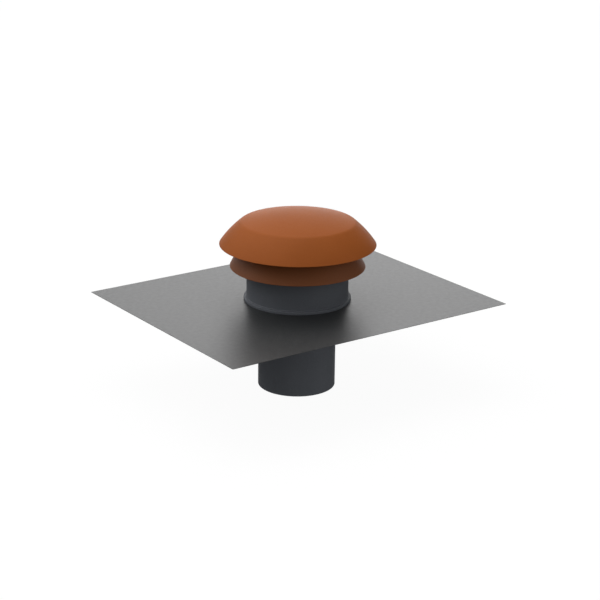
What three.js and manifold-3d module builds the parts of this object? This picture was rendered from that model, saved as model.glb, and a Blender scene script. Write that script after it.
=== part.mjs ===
// Roof vent terminal: a domed rain cap and a flared deflector ring on a hollow duct body,
// with a flat flashing plate round its waist. Millimetres, +Z up the duct's axis.
// The origin is the centre of the spigot's lower end, and +X runs along the plate's long side.
import * as THREE from "three";
import { mergeVertices } from "three/addons/utils/BufferGeometryUtils.js";
import Module from "manifold-3d";

const wasm = await Module();
wasm.setup();

// Driving dimensions. Heights are measured up from the top of the flashing plate.
const PLATE_LENGTH = 500;
const PLATE_WIDTH = 400;
const PLATE_THICKNESS = 0.6;

const SPIGOT_RADIUS = 60;
const SPIGOT_LENGTH = 140;
const SPIGOT_CHAMFER = 1;
const BODY_WALL = 3;
const COLLAR_RADIUS = 78.4;
const COLLAR_TOP = 84;
const SEAT_THICKNESS = 3.5;

const BEAD_RADIUS = 82.6;
const BEAD_HEIGHT = 4.6;
const BEAD_ROUND = 1.5;
const BEAD_COVE = 1.6;

const RING_RIM_RADIUS = 103.75;
const RING_RIM_HEIGHT = 52.5;
const RING_SHOULDER_RADIUS = 83;
const RING_TOP = 87;
const RING_BULGE = 0.8;
const RING_WALL = 2.5;

const CAP_APEX = 134.6;
const CAP_CREASE_RADIUS = 87.1;
const CAP_CREASE_HEIGHT = 122.65;
const CAP_RIM_RADIUS = 119.8;
const CAP_RIM_HEIGHT = 87.3;
const CAP_SKIRT_BULGE = 1.9;
const CAP_WALL = 3;

const RIB_COUNT = 4;
const RIB_THICKNESS = 3;
const RIB_FOOT_RADIUS = 81.5;
const RIB_REACH = 99;
const RIB_RISE = 21;
const RIB_LEAN = 4;
const TONGUE_WIDTH = 3;
const TONGUE_DEPTH = 13;

const CLEARANCE = 0.3;
const TURNED_SIDES = 64;
const CURVE_STEPS = 6;

// Finishes
const terracotta = () => new THREE.MeshStandardMaterial({ color: 0xa35a30, roughness: 0.5, metalness: 0 });
const anthracite = () => new THREE.MeshStandardMaterial({ color: 0x34373c, roughness: 0.5, metalness: 0 });
const coatedGrey = () => new THREE.MeshStandardMaterial({ color: 0x4e4f51, roughness: 0.4, metalness: 0.2 });

// A solid turned about +Z from an outline of radius and height that runs anticlockwise.
function turned(outline) {
  return new THREE.LatheGeometry(outline.getPoints(CURVE_STEPS), TURNED_SIDES).rotateX(Math.PI / 2);
}

// A curve from the path's end to (radius, height), proud of its chord by bulge on the chord's right.
function bulgeTo(path, radius, height, bulge) {
  const end = path.currentPoint.clone();
  const chord = new THREE.Vector2(radius - end.x, height - end.y);
  const outward = new THREE.Vector2(chord.y, -chord.x).normalize().multiplyScalar(2 * bulge);
  path.quadraticCurveTo(end.x + chord.x / 2 + outward.x, end.y + chord.y / 2 + outward.y, radius, height);
}

// Conversions between a closed mesh and the solid that booleans work on
function toSolid(geometry) {
  const bare = geometry.clone();
  bare.deleteAttribute("normal");
  bare.deleteAttribute("uv");
  const merged = mergeVertices(bare);
  const corners = merged.index.array;
  const kept = [];
  for (let i = 0; i < corners.length; i += 3) {
    const [a, b, c] = corners.slice(i, i + 3);
    if (a !== b && b !== c && c !== a) kept.push(a, b, c);
  }
  const vertProperties = new Float32Array(merged.attributes.position.array);
  const triVerts = new Uint32Array(kept);
  return new wasm.Manifold(new wasm.Mesh({ numProp: 3, vertProperties, triVerts }));
}

function toGeometry(solid) {
  const { vertProperties, triVerts } = solid.getMesh();
  const geometry = new THREE.BufferGeometry();
  geometry.setAttribute("position", new THREE.BufferAttribute(vertProperties, 3));
  geometry.setIndex(new THREE.BufferAttribute(triVerts, 1));
  geometry.computeVertexNormals();
  return geometry;
}

// Flashing plate: a flat sheet with a round hole that clears the spigot.
function flashingPlate() {
  const sheet = new THREE.Shape();
  sheet.moveTo(-PLATE_LENGTH / 2, -PLATE_WIDTH / 2);
  sheet.lineTo(PLATE_LENGTH / 2, -PLATE_WIDTH / 2);
  sheet.lineTo(PLATE_LENGTH / 2, PLATE_WIDTH / 2);
  sheet.lineTo(-PLATE_LENGTH / 2, PLATE_WIDTH / 2);
  const hole = new THREE.Path().absarc(0, 0, SPIGOT_RADIUS + CLEARANCE, 0, 2 * Math.PI, true);
  sheet.holes.push(hole);
  const settings = { depth: PLATE_THICKNESS, bevelEnabled: false, curveSegments: TURNED_SIDES / 2 };
  return new THREE.ExtrudeGeometry(sheet, settings).translate(0, 0, -PLATE_THICKNESS);
}

// Vent body: spigot, flat seat on the plate and collar in one wall, with a bead round the collar's foot.
function ventBody() {
  const spigotBore = SPIGOT_RADIUS - BODY_WALL;
  const collarBore = COLLAR_RADIUS - BODY_WALL;
  const outline = new THREE.Path();
  outline.moveTo(spigotBore, -SPIGOT_LENGTH);
  outline.lineTo(SPIGOT_RADIUS - SPIGOT_CHAMFER, -SPIGOT_LENGTH);
  outline.lineTo(SPIGOT_RADIUS, -SPIGOT_LENGTH + SPIGOT_CHAMFER);
  outline.lineTo(SPIGOT_RADIUS, 0);
  outline.lineTo(BEAD_RADIUS, 0);
  outline.lineTo(BEAD_RADIUS, BEAD_HEIGHT - BEAD_ROUND);
  outline.quadraticCurveTo(BEAD_RADIUS, BEAD_HEIGHT, BEAD_RADIUS - BEAD_ROUND, BEAD_HEIGHT);
  outline.lineTo(COLLAR_RADIUS + BEAD_COVE, BEAD_HEIGHT);
  outline.quadraticCurveTo(COLLAR_RADIUS, BEAD_HEIGHT, COLLAR_RADIUS, BEAD_HEIGHT + BEAD_COVE);
  outline.lineTo(COLLAR_RADIUS, COLLAR_TOP);
  outline.lineTo(collarBore, COLLAR_TOP);
  outline.lineTo(collarBore, SEAT_THICKNESS);
  outline.lineTo(spigotBore, SEAT_THICKNESS);
  outline.closePath();
  return turned(outline);
}

// Deflector ring: a flared skirt with a flat lip turned in at its top, which sits on the collar's end.
function deflectorRing() {
  const bore = COLLAR_RADIUS - BODY_WALL + CLEARANCE;
  const flare = Math.atan2(RING_TOP - RING_RIM_HEIGHT, RING_RIM_RADIUS - RING_SHOULDER_RADIUS);
  const wallAcross = RING_WALL / Math.sin(flare);
  const lipRadius = RING_SHOULDER_RADIUS - wallAcross + (RING_TOP - COLLAR_TOP) / Math.tan(flare);
  const outline = new THREE.Path();
  outline.moveTo(bore, COLLAR_TOP);
  outline.lineTo(lipRadius, COLLAR_TOP);
  bulgeTo(outline, RING_RIM_RADIUS - wallAcross, RING_RIM_HEIGHT, -RING_BULGE);
  outline.lineTo(RING_RIM_RADIUS, RING_RIM_HEIGHT);
  bulgeTo(outline, RING_SHOULDER_RADIUS, RING_TOP, RING_BULGE);
  outline.lineTo(bore, RING_TOP);
  outline.closePath();
  return turned(outline);
}

// One side of the cap's wall, as apex, crease and rim, set inward from the outer face by depth.
function capFace(depth) {
  const domeFall = Math.atan2(CAP_APEX - CAP_CREASE_HEIGHT, CAP_CREASE_RADIUS);
  const skirtFall = Math.atan2(CAP_CREASE_HEIGHT - CAP_RIM_HEIGHT, CAP_RIM_RADIUS - CAP_CREASE_RADIUS);
  const lean = (domeFall + skirtFall) / 2;
  const mitre = depth / Math.cos((skirtFall - domeFall) / 2);
  return {
    apex: CAP_APEX - depth,
    creaseRadius: CAP_CREASE_RADIUS - mitre * Math.sin(lean),
    creaseHeight: CAP_CREASE_HEIGHT - mitre * Math.cos(lean),
    rimRadius: CAP_RIM_RADIUS - depth / Math.sin(skirtFall),
  };
}

// The skirt, drawn up from the rim to the crease, and the dome, drawn level into the apex.
function drawUp(path, face) {
  bulgeTo(path, face.creaseRadius, face.creaseHeight, CAP_SKIRT_BULGE);
  path.quadraticCurveTo(face.creaseRadius / 2, face.apex, 0, face.apex);
}

// The same face drawn down, from the apex to the rim.
function drawDown(path, face) {
  path.moveTo(0, face.apex);
  path.quadraticCurveTo(face.creaseRadius / 2, face.apex, face.creaseRadius, face.creaseHeight);
  bulgeTo(path, face.rimRadius, CAP_RIM_HEIGHT, -CAP_SKIRT_BULGE);
}

// One upright rib under the cap: its foot stands on the ring's lip and a tongue drops inside the collar.
function capRib(turn) {
  const tongueOuter = COLLAR_RADIUS - BODY_WALL - CLEARANCE;
  const tongueInner = tongueOuter - TONGUE_WIDTH;
  const side = new THREE.Shape();
  side.moveTo(tongueInner, RING_TOP - TONGUE_DEPTH);
  side.lineTo(tongueOuter, RING_TOP - TONGUE_DEPTH);
  side.lineTo(tongueOuter, RING_TOP);
  side.lineTo(RIB_FOOT_RADIUS, RING_TOP);
  side.lineTo(RIB_REACH, RING_TOP + RIB_RISE);
  side.lineTo(RIB_REACH, CAP_APEX);
  side.lineTo(tongueInner - RIB_LEAN, CAP_APEX);
  side.lineTo(tongueInner, RING_TOP);
  const rib = new THREE.ExtrudeGeometry(side, { depth: RIB_THICKNESS, bevelEnabled: false });
  return rib.rotateX(Math.PI / 2).translate(0, RIB_THICKNESS / 2, 0).rotateZ(turn);
}

// Rain cap: a domed shell with a flared skirt, and the ribs that carry it, ending half way into its wall.
function rainCap() {
  const outer = capFace(0);
  const inner = capFace(CAP_WALL);
  const shell = new THREE.Path();
  drawDown(shell, inner);
  shell.lineTo(outer.rimRadius, CAP_RIM_HEIGHT);
  drawUp(shell, outer);

  const middle = capFace(CAP_WALL / 2);
  const filled = new THREE.Path();
  filled.moveTo(0, RING_RIM_HEIGHT);
  filled.lineTo(middle.rimRadius, RING_RIM_HEIGHT);
  filled.lineTo(middle.rimRadius, CAP_RIM_HEIGHT);
  drawUp(filled, middle);
  const inside = toSolid(turned(filled));

  let cap = toSolid(turned(shell));
  for (let i = 0; i < RIB_COUNT; i++) {
    const turn = ((i + 0.5) * 2 * Math.PI) / RIB_COUNT;
    cap = cap.add(toSolid(capRib(turn)).intersect(inside));
  }
  return toGeometry(cap);
}

function piece(name, geometry, material) {
  const mesh = new THREE.Mesh(geometry, material);
  mesh.name = name;
  return mesh;
}

// Everything is drawn about the plate's top, which the spigot's length lifts above the origin.
const terminal = new THREE.Group();
terminal.position.z = SPIGOT_LENGTH;
terminal.add(piece("flashing_plate", flashingPlate(), coatedGrey()));
terminal.add(piece("vent_body", ventBody(), anthracite()));
terminal.add(piece("deflector_ring", deflectorRing(), terracotta()));
terminal.add(piece("rain_cap", rainCap(), terracotta()));

const part = new THREE.Group();
part.add(terminal);
export default part;
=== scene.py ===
import math

import bmesh
import bpy
from mathutils import Matrix, Vector


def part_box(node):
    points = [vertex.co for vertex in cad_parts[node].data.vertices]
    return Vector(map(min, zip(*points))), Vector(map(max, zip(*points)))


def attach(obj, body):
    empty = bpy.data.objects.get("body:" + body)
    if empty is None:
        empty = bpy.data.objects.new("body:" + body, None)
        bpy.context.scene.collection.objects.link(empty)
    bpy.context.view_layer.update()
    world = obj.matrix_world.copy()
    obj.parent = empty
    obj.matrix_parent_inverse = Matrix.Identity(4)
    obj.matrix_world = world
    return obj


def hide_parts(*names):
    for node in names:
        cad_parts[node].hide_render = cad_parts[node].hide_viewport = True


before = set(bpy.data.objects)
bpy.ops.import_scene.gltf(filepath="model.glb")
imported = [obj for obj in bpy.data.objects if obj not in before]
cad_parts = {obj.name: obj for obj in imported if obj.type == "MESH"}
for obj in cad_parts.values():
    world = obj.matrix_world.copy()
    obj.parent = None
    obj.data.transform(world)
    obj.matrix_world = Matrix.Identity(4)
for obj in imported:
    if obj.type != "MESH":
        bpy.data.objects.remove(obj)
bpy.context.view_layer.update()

MM = 0.001

# Places that the solids give
sheet_low, sheet_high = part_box("flashing_plate")
body_low, body_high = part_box("vent_body")
ring_low, ring_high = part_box("deflector_ring")
_, cap_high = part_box("rain_cap")
SHEET_TOP = sheet_high.z
COLLAR_TOP = body_high.z
RING_TOP = ring_high.z

# Duct body
SPIGOT_RADIUS = 60 * MM
BODY_WALL = 3 * MM
COLLAR_RADIUS = 78.4 * MM
SEAT_THICKNESS = 3.5 * MM
BEAD_RADIUS = body_high.x
BEAD_TOP = SHEET_TOP + 4.6 * MM

# Deflector ring
RING_SHOULDER_RADIUS = 83 * MM
RING_BULGE = 0.8 * MM
RING_WALL = 2.5 * MM

# Rain cap
CAP_CREASE_RADIUS = 87.1 * MM
CAP_CREASE_HEIGHT = SHEET_TOP + 122.65 * MM
CAP_RIM_HEIGHT = SHEET_TOP + 87.3 * MM
CAP_SKIRT_BULGE = 1.9 * MM
CAP_WALL = 3 * MM

# Ribs under the cap. The first stands half a spacing round from +X.
RIB_COUNT = 4
RIB_START = 0.5
RIB_THICKNESS = 3 * MM
RIB_FOOT_RADIUS = 81.5 * MM
RIB_REACH = 99 * MM
RIB_RISE = 21 * MM
RIB_LEAN = 4 * MM
RIB_SOFTENING = 0.4 * MM
RIB_SOFTENING_STEPS = 2
TONGUE_WIDTH = 3 * MM
TONGUE_DEPTH = 13 * MM

# Rounds, each the length of edge that a corner loses
CREASE_ROUND = 2.2 * MM
RIM_ROUND = 0.8 * MM
RIM_CUT = 0.45 * MM
INNER_ROUND = 0.5 * MM
SHOULDER_ROUND = 1.6 * MM
SPIGOT_ROUND = 0.9 * MM
FOOT_ROUND = 0.3 * MM
BEAD_ROUND = 1.5 * MM
BEAD_COVE = 1.6 * MM
SHEET_CORNER = 0.8 * MM

CLEARANCE = 0.3 * MM
WELD = 0.001 * MM
SIDES = 192
CURVE_STEPS = 14
ROUND_STEPS = 4
SHARP_ANGLE = math.radians(40)

# The sheet's cut edges take its second finish. Their normals rise less than this.
CUT_EDGE_FINISH = 1
CUT_EDGE_RISE = 0.5

# The photograph's view
IMAGE_SIDE = 600
FOCAL_PIXELS = 1688.1
SENSOR_WIDTH = 36.0
AIM_PIXEL = Vector((297.28, 297.75))
CAMERA_DISTANCE = 2.6006
CAMERA_AZIMUTH = math.radians(35.67)
CAMERA_PITCH = math.radians(18.775)
CAMERA_ROLL = math.radians(0.677)

# Floor
FLOOR_RADIUS = 9.0
FLOOR_GAP = 0.3 * MM
FLOOR_COLOUR = (0.045, 0.045, 0.045, 1.0)
FLOOR_ROUGHNESS = 0.9
FLOOR_GLOW = 0.955
WHITE = (1.0, 1.0, 1.0, 1.0)

# Soft light. Each glow's middle by degrees round from the camera, to its right, and degrees of
# elevation, then how narrow it is and how bright.
GLOWS = {
    "overhead": (200, 78, 16, 3.05),
    "upper_left": (265, 48, 16, 2.0),
    "left": (238, 18, 30, 0.7),
    "far_side": (178, 3, 26, 3.28),
    "near_side": (0, 24, 8, 0.55),
    "right": (75, 10, 16, 0.88),
    "below": (0, -90, 4, 0.38),
}

# How the finishes read their patterns: where two colours begin to mix, the middle half of a pattern,
# and how much detail it has
DEEP_STOP = 0.3
PALE_STOP = 0.7
MIDDLE_LOW = 0.25
MIDDLE_HIGH = 0.75
FINE_DETAIL = 2
EVEN_DETAIL = 3
BROAD_DETAIL = 4

# Terracotta plastic. In every finish the patterns are in marks per metre and the reliefs are heights.
CAP_PALE = (0.315, 0.084, 0.016)
CAP_DEEP = (0.29, 0.076, 0.013)
CAP_GLOSS = 0.1
# The ring's colours are the cap's terracotta made darker and duller: painted shade for the shadow that the
# cap's rim casts on the ring.
RING_SHADED_PALE = (0.234, 0.0715, 0.018)
RING_SHADED_DEEP = (0.219, 0.0665, 0.016)
RING_GLOSS = 0.32
TERRACOTTA_DRIFT = 16
TERRACOTTA_SPECKLE = 900
TERRACOTTA_SKIN = 260
TERRACOTTA_SHADES = (0.94, 1.06)
TERRACOTTA_ROUGHNESS = (0.54, 0.62)
TERRACOTTA_SKIN_RELIEF = 0.03 * MM
TERRACOTTA_SPECKLE_RELIEF = 0.02 * MM

# Anthracite plastic, with lines squeezed flat so that they run round the duct
ANTHRACITE_PALE = (0.124, 0.133, 0.149)
ANTHRACITE_DEEP = (0.112, 0.121, 0.137)
ANTHRACITE_GLOSS = 0.2
ANTHRACITE_DRIFT = 20
ANTHRACITE_SPECKLE = 1000
ANTHRACITE_LINES = 60
ANTHRACITE_LINE_SQUEEZE = (1, 1, 18)
ANTHRACITE_SHADES = (0.9, 1.1)
ANTHRACITE_ROUGHNESS = (0.55, 0.65)
ANTHRACITE_LINE_RELIEF = 0.015 * MM
ANTHRACITE_SPECKLE_RELIEF = 0.02 * MM

# Coated sheet
SHEET_PALE = (0.0185, 0.0195, 0.020)
SHEET_DEEP = (0.0155, 0.0165, 0.017)
SHEET_GLOSS = 1.0
SHEET_MOTTLE = 150
SHEET_GRAIN = 620
SHEET_SHADES = (0.88, 1.12)
SHEET_ROUGHNESS = (0.37, 0.45)
SHEET_RELIEF = 0.05 * MM

# Bare metal on the sheet's cut edges, with streaks squeezed flat so that they run along the cut
CUT_PALE = (0.90, 0.91, 0.92)
CUT_DEEP = (0.80, 0.81, 0.82)
CUT_STREAKS = 900
CUT_STREAK_SQUEEZE = (1, 1, 6)
CUT_ROUGHNESS = (0.35, 0.5)
CUT_RELIEF = 0.02 * MM


def corner(radius, height, rounding=0.0):
    """A point of an outline, with the length of edge that its round takes."""
    return Vector((radius, height)), rounding


def bowed(start, end, bulge):
    """Points between two corners, on a curve proud of their chord by bulge on the chord's right."""
    first, last = start[0], end[0]
    chord = last - first
    outward = Vector((chord.y, -chord.x)).normalized()
    points = []
    for step in range(1, CURVE_STEPS):
        share = step / CURVE_STEPS
        lift = 4 * bulge * share * (1 - share)
        points.append((first + chord * share + outward * lift, 0.0))
    return points


def turned(outline, closed=True):
    """A mesh turned about the duct's axis from an outline whose corners are rounded first."""
    bm = bmesh.new()
    path = [bm.verts.new((place.x, 0.0, place.y)) for place, _ in outline]
    for start, end in zip(path, path[1:]):
        bm.edges.new((start, end))
    if closed:
        bm.edges.new((path[-1], path[0]))
    for vert, (_, rounding) in zip(path, outline):
        if rounding:
            bmesh.ops.bevel(bm, geom=[vert], offset=rounding, offset_type="OFFSET", segments=ROUND_STEPS,
                            profile=0.5, affect="VERTICES", material=-1)
    bmesh.ops.spin(bm, geom=bm.verts[:] + bm.edges[:], cent=(0, 0, 0), axis=(0, 0, 1),
                   angle=2 * math.pi, steps=SIDES, use_merge=True)
    bmesh.ops.remove_doubles(bm, verts=bm.verts[:], dist=WELD)
    bmesh.ops.recalc_face_normals(bm, faces=bm.faces[:])
    return bm


def new_piece(name, bm):
    """A smooth-shaded object at the origin that takes over a finished bmesh."""
    for face in bm.faces:
        face.smooth = True
    mesh = bpy.data.meshes.new(name)
    bm.to_mesh(mesh)
    bm.free()
    piece = bpy.data.objects.new(name, mesh)
    bpy.context.scene.collection.objects.link(piece)
    return piece


def crisp(piece):
    """Keeps flat faces flat beside their rounded edges."""
    piece.data.set_sharp_from_angle(angle=SHARP_ANGLE)
    weighted = piece.modifiers.new("even_shading", "WEIGHTED_NORMAL")
    weighted.keep_sharp = True
    return piece


def combined(piece, other, operation):
    """Joins a piece with another closed mesh, or trims it by that mesh, which is used up."""
    step = piece.modifiers.new("combine", "BOOLEAN")
    step.operation = operation
    step.solver = "EXACT"
    step.object = other
    graph = bpy.context.evaluated_depsgraph_get()
    skin = bpy.data.meshes.new_from_object(piece.evaluated_get(graph))
    piece.modifiers.remove(step)
    piece.data = skin
    bpy.data.objects.remove(other)
    return piece


def duct_body():
    """Spigot, seat on the sheet, rounded bead and collar in one wall."""
    spigot_bore = SPIGOT_RADIUS - BODY_WALL
    collar_bore = COLLAR_RADIUS - BODY_WALL
    seat_top = SHEET_TOP + SEAT_THICKNESS
    return turned([
        corner(spigot_bore, body_low.z, INNER_ROUND),
        corner(SPIGOT_RADIUS, body_low.z, SPIGOT_ROUND),
        corner(SPIGOT_RADIUS, SHEET_TOP),
        corner(BEAD_RADIUS, SHEET_TOP, FOOT_ROUND),
        corner(BEAD_RADIUS, BEAD_TOP, BEAD_ROUND),
        corner(COLLAR_RADIUS, BEAD_TOP, BEAD_COVE),
        corner(COLLAR_RADIUS, COLLAR_TOP, INNER_ROUND),
        corner(collar_bore, COLLAR_TOP, INNER_ROUND),
        corner(collar_bore, seat_top, INNER_ROUND),
        corner(spigot_bore, seat_top, INNER_ROUND),
    ])


def deflector_ring():
    """Flared skirt with a flat lip turned in at its top."""
    bore = COLLAR_RADIUS - BODY_WALL + CLEARANCE
    flare = math.atan2(RING_TOP - ring_low.z, ring_high.x - RING_SHOULDER_RADIUS)
    wall_across = RING_WALL / math.sin(flare)
    lip_radius = RING_SHOULDER_RADIUS - wall_across + (RING_TOP - COLLAR_TOP) / math.tan(flare)
    lip_root = corner(lip_radius, COLLAR_TOP, SHOULDER_ROUND)
    rim_inside = corner(ring_high.x - wall_across, ring_low.z, INNER_ROUND)
    rim = corner(ring_high.x + RIM_CUT, ring_low.z, RIM_ROUND)
    shoulder = corner(RING_SHOULDER_RADIUS, RING_TOP, SHOULDER_ROUND)
    return turned([
        corner(bore, COLLAR_TOP, INNER_ROUND),
        lip_root,
        *bowed(lip_root, rim_inside, -RING_BULGE),
        rim_inside,
        rim,
        *bowed(rim, shoulder, RING_BULGE),
        shoulder,
        corner(bore, RING_TOP, INNER_ROUND),
    ])


def cap_face(depth):
    """Crease and rim of the cap's wall, set inward from its outer face by depth."""
    dome_fall = math.atan2(cap_high.z - CAP_CREASE_HEIGHT, CAP_CREASE_RADIUS)
    skirt_fall = math.atan2(CAP_CREASE_HEIGHT - CAP_RIM_HEIGHT, cap_high.x - CAP_CREASE_RADIUS)
    lean = (dome_fall + skirt_fall) / 2
    mitre = depth / math.cos((skirt_fall - dome_fall) / 2)
    crease = Vector((CAP_CREASE_RADIUS - mitre * math.sin(lean), CAP_CREASE_HEIGHT - mitre * math.cos(lean)))
    rim = Vector((cap_high.x - depth / math.sin(skirt_fall), CAP_RIM_HEIGHT))
    return crease, rim


def dome(crease, apex):
    """The dome's points from just outside the axis to just inside the crease, falling as a parabola."""
    points = []
    for step in range(1, CURVE_STEPS):
        share = step / CURVE_STEPS
        points.append(corner(crease.x * share, apex - (apex - crease.y) * share ** 2))
    return points


def cap_shell():
    """Domed shell with a soft crease and a flared skirt."""
    inner_crease, inner_rim = cap_face(CAP_WALL)
    outer_crease, outer_rim = cap_face(0)
    fold_inside = corner(*inner_crease, CREASE_ROUND)
    rim_inside = corner(*inner_rim, INNER_ROUND)
    rim = corner(outer_rim.x + RIM_CUT, outer_rim.y, RIM_ROUND)
    fold = corner(*outer_crease, CREASE_ROUND)
    return turned([
        corner(0, cap_high.z - CAP_WALL),
        *dome(inner_crease, cap_high.z - CAP_WALL),
        fold_inside,
        *bowed(fold_inside, rim_inside, -CAP_SKIRT_BULGE),
        rim_inside,
        rim,
        *bowed(rim, fold, CAP_SKIRT_BULGE),
        fold,
        *reversed(dome(outer_crease, cap_high.z)),
        corner(0, cap_high.z),
    ], closed=False)


def cap_core():
    """The space under the middle of the cap's wall, closed below, which trims the ribs."""
    crease, rim = cap_face(CAP_WALL / 2)
    rim_point = corner(*rim)
    fold = corner(*crease)
    apex = cap_high.z - CAP_WALL / 2
    return turned([
        corner(0, ring_low.z),
        corner(rim.x, ring_low.z),
        rim_point,
        *bowed(rim_point, fold, CAP_SKIRT_BULGE),
        fold,
        *reversed(dome(crease, apex)),
        corner(0, apex),
    ], closed=False)


def cap_ribs():
    """Upright ribs under the cap: feet on the ring's lip, and tongues that drop inside the collar."""
    tongue_outer = COLLAR_RADIUS - BODY_WALL - CLEARANCE
    tongue_inner = tongue_outer - TONGUE_WIDTH
    side = [
        (tongue_inner, RING_TOP - TONGUE_DEPTH),
        (tongue_outer, RING_TOP - TONGUE_DEPTH),
        (tongue_outer, RING_TOP),
        (RIB_FOOT_RADIUS, RING_TOP),
        (RIB_REACH, RING_TOP + RIB_RISE),
        (RIB_REACH, cap_high.z),
        (tongue_inner - RIB_LEAN, cap_high.z),
        (tongue_inner, RING_TOP),
    ]
    bm = bmesh.new()
    for rib in range(RIB_COUNT):
        face = bm.faces.new([bm.verts.new((radius, -RIB_THICKNESS / 2, height)) for radius, height in side])
        pulled = bmesh.ops.extrude_face_region(bm, geom=[face], use_keep_orig=True)["geom"]
        verts = [part for part in pulled if isinstance(part, bmesh.types.BMVert)]
        bmesh.ops.translate(bm, verts=verts, vec=(0, RIB_THICKNESS, 0))
        turn = Matrix.Rotation((rib + RIB_START) * 2 * math.pi / RIB_COUNT, 3, "Z")
        bmesh.ops.rotate(bm, verts=verts + face.verts[:], cent=(0, 0, 0), matrix=turn)
    bmesh.ops.recalc_face_normals(bm, faces=bm.faces[:])
    bmesh.ops.bevel(bm, geom=bm.edges[:], offset=RIB_SOFTENING, offset_type="OFFSET",
                    segments=RIB_SOFTENING_STEPS, profile=0.5, affect="EDGES", material=-1)
    return bm


def rain_cap():
    """The cap's shell with its ribs, which end half way into its wall."""
    ribs = new_piece("cap_ribs", cap_ribs())
    core = new_piece("cap_core", cap_core())
    trimmed = combined(ribs, core, "INTERSECT")
    return combined(new_piece("terracotta_cap", cap_shell()), trimmed, "UNION")


def flashing_sheet():
    """Flat sheet with a round hole that clears the spigot."""
    bm = bmesh.new()
    bmesh.ops.create_circle(bm, segments=SIDES, radius=SPIGOT_RADIUS + CLEARANCE)
    low, high = sheet_low, sheet_high
    places = [(low.x, low.y, 0), (high.x, low.y, 0), (high.x, high.y, 0), (low.x, high.y, 0)]
    corners = [bm.verts.new(place) for place in places]
    for start, end in zip(corners, corners[1:] + corners[:1]):
        bm.edges.new((start, end))
    bmesh.ops.bevel(bm, geom=corners, offset=SHEET_CORNER, offset_type="OFFSET", segments=ROUND_STEPS,
                    profile=0.5, affect="VERTICES", material=-1)
    bmesh.ops.triangle_fill(bm, edges=bm.edges[:], use_beauty=True)
    bmesh.ops.translate(bm, verts=bm.verts[:], vec=(0, 0, low.z))
    pulled = bmesh.ops.extrude_face_region(bm, geom=bm.faces[:], use_keep_orig=True)["geom"]
    raised = [part for part in pulled if isinstance(part, bmesh.types.BMVert)]
    bmesh.ops.translate(bm, verts=raised, vec=(0, 0, high.z - low.z))
    bmesh.ops.recalc_face_normals(bm, faces=bm.faces[:])
    for face in bm.faces:
        if abs(face.normal.z) < CUT_EDGE_RISE:
            face.material_index = CUT_EDGE_FINISH
    return bm


def dress(piece, node, slot, *finishes):
    """Gives a finished piece its materials and body, and hides the solid that it takes over from."""
    piece.data.materials.clear()
    for material in finishes:
        piece.data.materials.append(material)
    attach(piece, "root")
    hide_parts(node)


def finish_of(name):
    """A new material with its node tree and its shader."""
    material = bpy.data.materials.new(name)
    material.use_nodes = True
    return material, material.node_tree, material.node_tree.nodes["Principled BSDF"]


def noise(tree, scale, detail, squeeze=(1, 1, 1)):
    """Noise on the piece's own coordinates, in marks per metre."""
    place = tree.nodes.new("ShaderNodeTexCoord")
    mapping = tree.nodes.new("ShaderNodeMapping")
    mapping.inputs["Scale"].default_value = squeeze
    pattern = tree.nodes.new("ShaderNodeTexNoise")
    pattern.inputs["Scale"].default_value = scale
    pattern.inputs["Detail"].default_value = detail
    tree.links.new(place.outputs["Object"], mapping.inputs["Vector"])
    tree.links.new(mapping.outputs["Vector"], pattern.inputs["Vector"])
    return pattern.outputs["Fac"]


def ramp(tree, factor, deep, pale):
    """A colour between a deep one and a pale one, picked by a factor."""
    node = tree.nodes.new("ShaderNodeValToRGB")
    stops = [(DEEP_STOP, deep), (PALE_STOP, pale)]
    for element, (position, colour) in zip(node.color_ramp.elements, stops):
        element.position = position
        element.color = (*colour, 1.0)
    tree.links.new(factor, node.inputs["Fac"])
    return node.outputs["Color"]


def spread(tree, factor, low, high):
    """A factor's middle half stretched over a range of values."""
    node = tree.nodes.new("ShaderNodeMapRange")
    node.inputs["From Min"].default_value = MIDDLE_LOW
    node.inputs["From Max"].default_value = MIDDLE_HIGH
    node.inputs["To Min"].default_value = low
    node.inputs["To Max"].default_value = high
    tree.links.new(factor, node.inputs["Value"])
    return node.outputs["Result"]


def shaded(tree, colour, factor, low, high):
    """A colour made darker or lighter by a factor."""
    node = tree.nodes.new("ShaderNodeVectorMath")
    node.operation = "SCALE"
    tree.links.new(colour, node.inputs["Vector"])
    tree.links.new(spread(tree, factor, low, high), node.inputs["Scale"])
    return node.outputs["Vector"]


def bump(tree, height, distance, below=None):
    """A normal raised by a height, over another bump where one is given."""
    node = tree.nodes.new("ShaderNodeBump")
    node.inputs["Distance"].default_value = distance
    tree.links.new(height, node.inputs["Height"])
    if below:
        tree.links.new(below, node.inputs["Normal"])
    return node.outputs["Normal"]


def terracotta_plastic(name, pale, deep, gloss):
    """Satin moulded plastic with a faint drift of colour, fine speckle and a moulded skin."""
    material, tree, shader = finish_of(name)
    drift = noise(tree, TERRACOTTA_DRIFT, BROAD_DETAIL)
    speckle = noise(tree, TERRACOTTA_SPECKLE, FINE_DETAIL)
    skin = noise(tree, TERRACOTTA_SKIN, EVEN_DETAIL)
    colour = shaded(tree, ramp(tree, drift, deep, pale), speckle, *TERRACOTTA_SHADES)
    relief = bump(tree, skin, TERRACOTTA_SKIN_RELIEF)
    relief = bump(tree, speckle, TERRACOTTA_SPECKLE_RELIEF, relief)
    tree.links.new(colour, shader.inputs["Base Color"])
    tree.links.new(spread(tree, skin, *TERRACOTTA_ROUGHNESS), shader.inputs["Roughness"])
    tree.links.new(relief, shader.inputs["Normal"])
    shader.inputs["Specular IOR Level"].default_value = gloss
    return material


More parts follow.
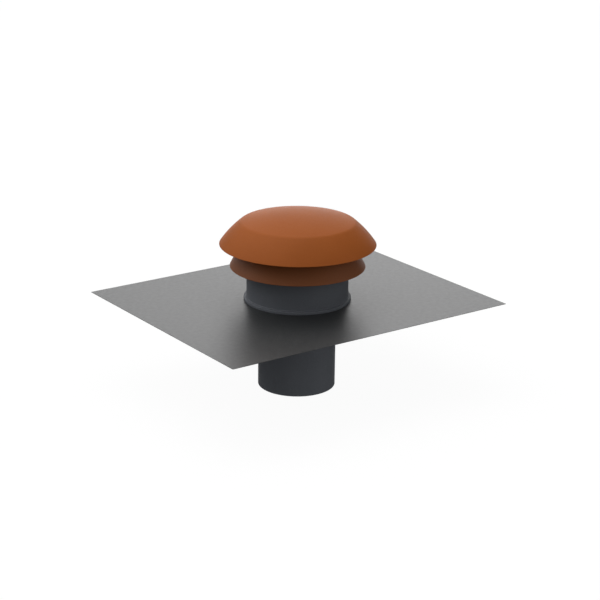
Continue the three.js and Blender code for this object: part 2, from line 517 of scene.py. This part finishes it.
def anthracite_plastic():
    """Satin moulded plastic, near black, with faint lines round the duct and a fine speckle."""
    material, tree, shader = finish_of("anthracite_moulding")
    drift = noise(tree, ANTHRACITE_DRIFT, BROAD_DETAIL)
    speckle = noise(tree, ANTHRACITE_SPECKLE, FINE_DETAIL)
    lines = noise(tree, ANTHRACITE_LINES, FINE_DETAIL, ANTHRACITE_LINE_SQUEEZE)
    colour = ramp(tree, drift, ANTHRACITE_DEEP, ANTHRACITE_PALE)
    colour = shaded(tree, colour, speckle, *ANTHRACITE_SHADES)
    relief = bump(tree, lines, ANTHRACITE_LINE_RELIEF)
    relief = bump(tree, speckle, ANTHRACITE_SPECKLE_RELIEF, relief)
    tree.links.new(colour, shader.inputs["Base Color"])
    tree.links.new(spread(tree, lines, *ANTHRACITE_ROUGHNESS), shader.inputs["Roughness"])
    tree.links.new(relief, shader.inputs["Normal"])
    shader.inputs["Specular IOR Level"].default_value = ANTHRACITE_GLOSS
    return material


def flashing_metal():
    """Dark coated sheet with a satin sheen, mottled by the rolling and with a fine even grain."""
    material, tree, shader = finish_of("grey_flashing")
    mottle = noise(tree, SHEET_MOTTLE, EVEN_DETAIL)
    grain = noise(tree, SHEET_GRAIN, EVEN_DETAIL)
    colour = shaded(tree, ramp(tree, mottle, SHEET_DEEP, SHEET_PALE), grain, *SHEET_SHADES)
    relief = bump(tree, grain, SHEET_RELIEF, bump(tree, mottle, SHEET_RELIEF))
    tree.links.new(colour, shader.inputs["Base Color"])
    tree.links.new(spread(tree, mottle, *SHEET_ROUGHNESS), shader.inputs["Roughness"])
    tree.links.new(relief, shader.inputs["Normal"])
    shader.inputs["Specular IOR Level"].default_value = SHEET_GLOSS
    return material


def bare_cut():
    """Bare metal where the sheet was cut, brushed along the cut."""
    material, tree, shader = finish_of("bare_cut_metal")
    streaks = noise(tree, CUT_STREAKS, FINE_DETAIL, CUT_STREAK_SQUEEZE)
    tree.links.new(ramp(tree, streaks, CUT_DEEP, CUT_PALE), shader.inputs["Base Color"])
    tree.links.new(spread(tree, streaks, *CUT_ROUGHNESS), shader.inputs["Roughness"])
    tree.links.new(bump(tree, streaks, CUT_RELIEF), shader.inputs["Normal"])
    shader.inputs["Metallic"].default_value = 1.0
    return material


def either(tree, choice, first, second):
    """The first shader where choice is 0, and the second where it is 1."""
    node = tree.nodes.new("ShaderNodeMixShader")
    tree.links.new(choice, node.inputs["Fac"])
    tree.links.new(first, node.inputs[1])
    tree.links.new(second, node.inputs[2])
    return node.outputs["Shader"]


def pale_floor():
    """Plain floor, bright enough to leave only a trace of shadow, and clear when seen from below."""
    bm = bmesh.new()
    bmesh.ops.create_circle(bm, cap_ends=True, segments=SIDES, radius=FLOOR_RADIUS)
    bmesh.ops.translate(bm, verts=bm.verts[:], vec=(0, 0, -FLOOR_GAP))
    floor = new_piece("floor", bm)
    material, tree, shader = finish_of("floor_white")
    shader.inputs["Base Color"].default_value = FLOOR_COLOUR
    shader.inputs["Roughness"].default_value = FLOOR_ROUGHNESS
    shader.inputs["Specular IOR Level"].default_value = 0.0
    shader.inputs["Emission Color"].default_value = WHITE
    shader.inputs["Emission Strength"].default_value = FLOOR_GLOW
    clear = tree.nodes.new("ShaderNodeBsdfTransparent")
    side = tree.nodes.new("ShaderNodeNewGeometry")
    surface = either(tree, side.outputs["Backfacing"], shader.outputs["BSDF"], clear.outputs["BSDF"])
    tree.links.new(surface, tree.nodes["Material Output"].inputs["Surface"])
    floor.data.materials.append(material)
    floor.visible_diffuse = False
    floor.visible_glossy = False
    floor.visible_shadow = False


def worked(tree, operation, first, second):
    """A sum, product or power of a socket and a number or another socket."""
    node = tree.nodes.new("ShaderNodeMath")
    node.operation = operation
    tree.links.new(first, node.inputs[0])
    if isinstance(second, bpy.types.NodeSocket):
        tree.links.new(second, node.inputs[1])
    else:
        node.inputs[1].default_value = second
    return node.outputs["Value"]


def facing_share(tree, direction, turn, elevation):
    """How far a direction faces a glow's middle: 1 at the middle, 0 straight away from it."""
    azimuth = turn - CAMERA_AZIMUTH
    middle = Vector((math.sin(azimuth) * math.cos(elevation), -math.cos(azimuth) * math.cos(elevation),
                     math.sin(elevation)))
    facing = tree.nodes.new("ShaderNodeVectorMath")
    facing.operation = "DOT_PRODUCT"
    facing.inputs[1].default_value = middle
    tree.links.new(direction, facing.inputs[0])
    return worked(tree, "MULTIPLY", worked(tree, "ADD", facing.outputs["Value"], 1.0), 0.5)


def studio_world():
    """Soft surround: a few wide glows over darkness, behind a plain white backdrop."""
    world = bpy.data.worlds.new("studio")
    bpy.context.scene.world = world
    world.use_nodes = True
    tree = world.node_tree
    surround = tree.nodes["Background"]
    surround.inputs["Color"].default_value = WHITE
    place = tree.nodes.new("ShaderNodeTexCoord")
    total = 0.0
    for turn, elevation, narrowness, brightness in GLOWS.values():
        share = facing_share(tree, place.outputs["Generated"], math.radians(turn), math.radians(elevation))
        glow = worked(tree, "MULTIPLY", worked(tree, "POWER", share, narrowness), brightness)
        total = worked(tree, "ADD", glow, total)
    tree.links.new(total, surround.inputs["Strength"])
    backdrop = tree.nodes.new("ShaderNodeBackground")
    backdrop.inputs["Color"].default_value = WHITE
    rays = tree.nodes.new("ShaderNodeLightPath")
    seen = either(tree, rays.outputs["Is Camera Ray"], surround.outputs["Background"],
                  backdrop.outputs["Background"])
    tree.links.new(seen, tree.nodes["World Output"].inputs["Surface"])


def photo_camera():
    """Camera at the photograph's angle, aimed so that the middle of the sheet falls on its pixel."""
    right = Vector((math.cos(CAMERA_AZIMUTH), -math.sin(CAMERA_AZIMUTH), 0))
    level = Vector((math.sin(CAMERA_AZIMUTH), math.cos(CAMERA_AZIMUTH), 0))
    forward = level * math.cos(CAMERA_PITCH) - Vector((0, 0, math.sin(CAMERA_PITCH)))
    roll = Matrix.Rotation(CAMERA_ROLL, 3, -forward)
    upward = roll @ right.cross(forward)
    right = roll @ right
    offset = (AIM_PIXEL - Vector((IMAGE_SIDE, IMAGE_SIDE)) / 2) / FOCAL_PIXELS
    ray = (forward + right * offset.x - upward * offset.y).normalized()
    camera = bpy.data.objects.new("camera", bpy.data.cameras.new("camera"))
    bpy.context.scene.collection.objects.link(camera)
    camera.data.sensor_fit = "HORIZONTAL"
    camera.data.sensor_width = SENSOR_WIDTH
    camera.data.lens = SENSOR_WIDTH * FOCAL_PIXELS / IMAGE_SIDE
    axes = Matrix((right, upward, -forward)).transposed().to_4x4()
    camera.matrix_world = Matrix.Translation(Vector((0, 0, SHEET_TOP)) - ray * CAMERA_DISTANCE) @ axes
    bpy.context.scene.camera = camera


bpy.context.scene.view_settings.view_transform = "Standard"
photo_camera()
studio_world()
pale_floor()

dress(crisp(new_piece("grey_flashing_sheet", flashing_sheet())), "flashing_plate", "flashing_sheet",
      flashing_metal(), bare_cut())
dress(crisp(new_piece("anthracite_body", duct_body())), "vent_body", "anthracite_plastic",
      anthracite_plastic())
# The ring takes a darker copy of the cap's terracotta: painted shade under the cap's rim.
dress(crisp(new_piece("terracotta_ring", deflector_ring())), "deflector_ring", "terracotta_plastic",
      terracotta_plastic("shade_darkened_ring_terracotta", RING_SHADED_PALE, RING_SHADED_DEEP, RING_GLOSS))
dress(crisp(rain_cap()), "rain_cap", "terracotta_plastic",
      terracotta_plastic("cap_terracotta", CAP_PALE, CAP_DEEP, CAP_GLOSS))
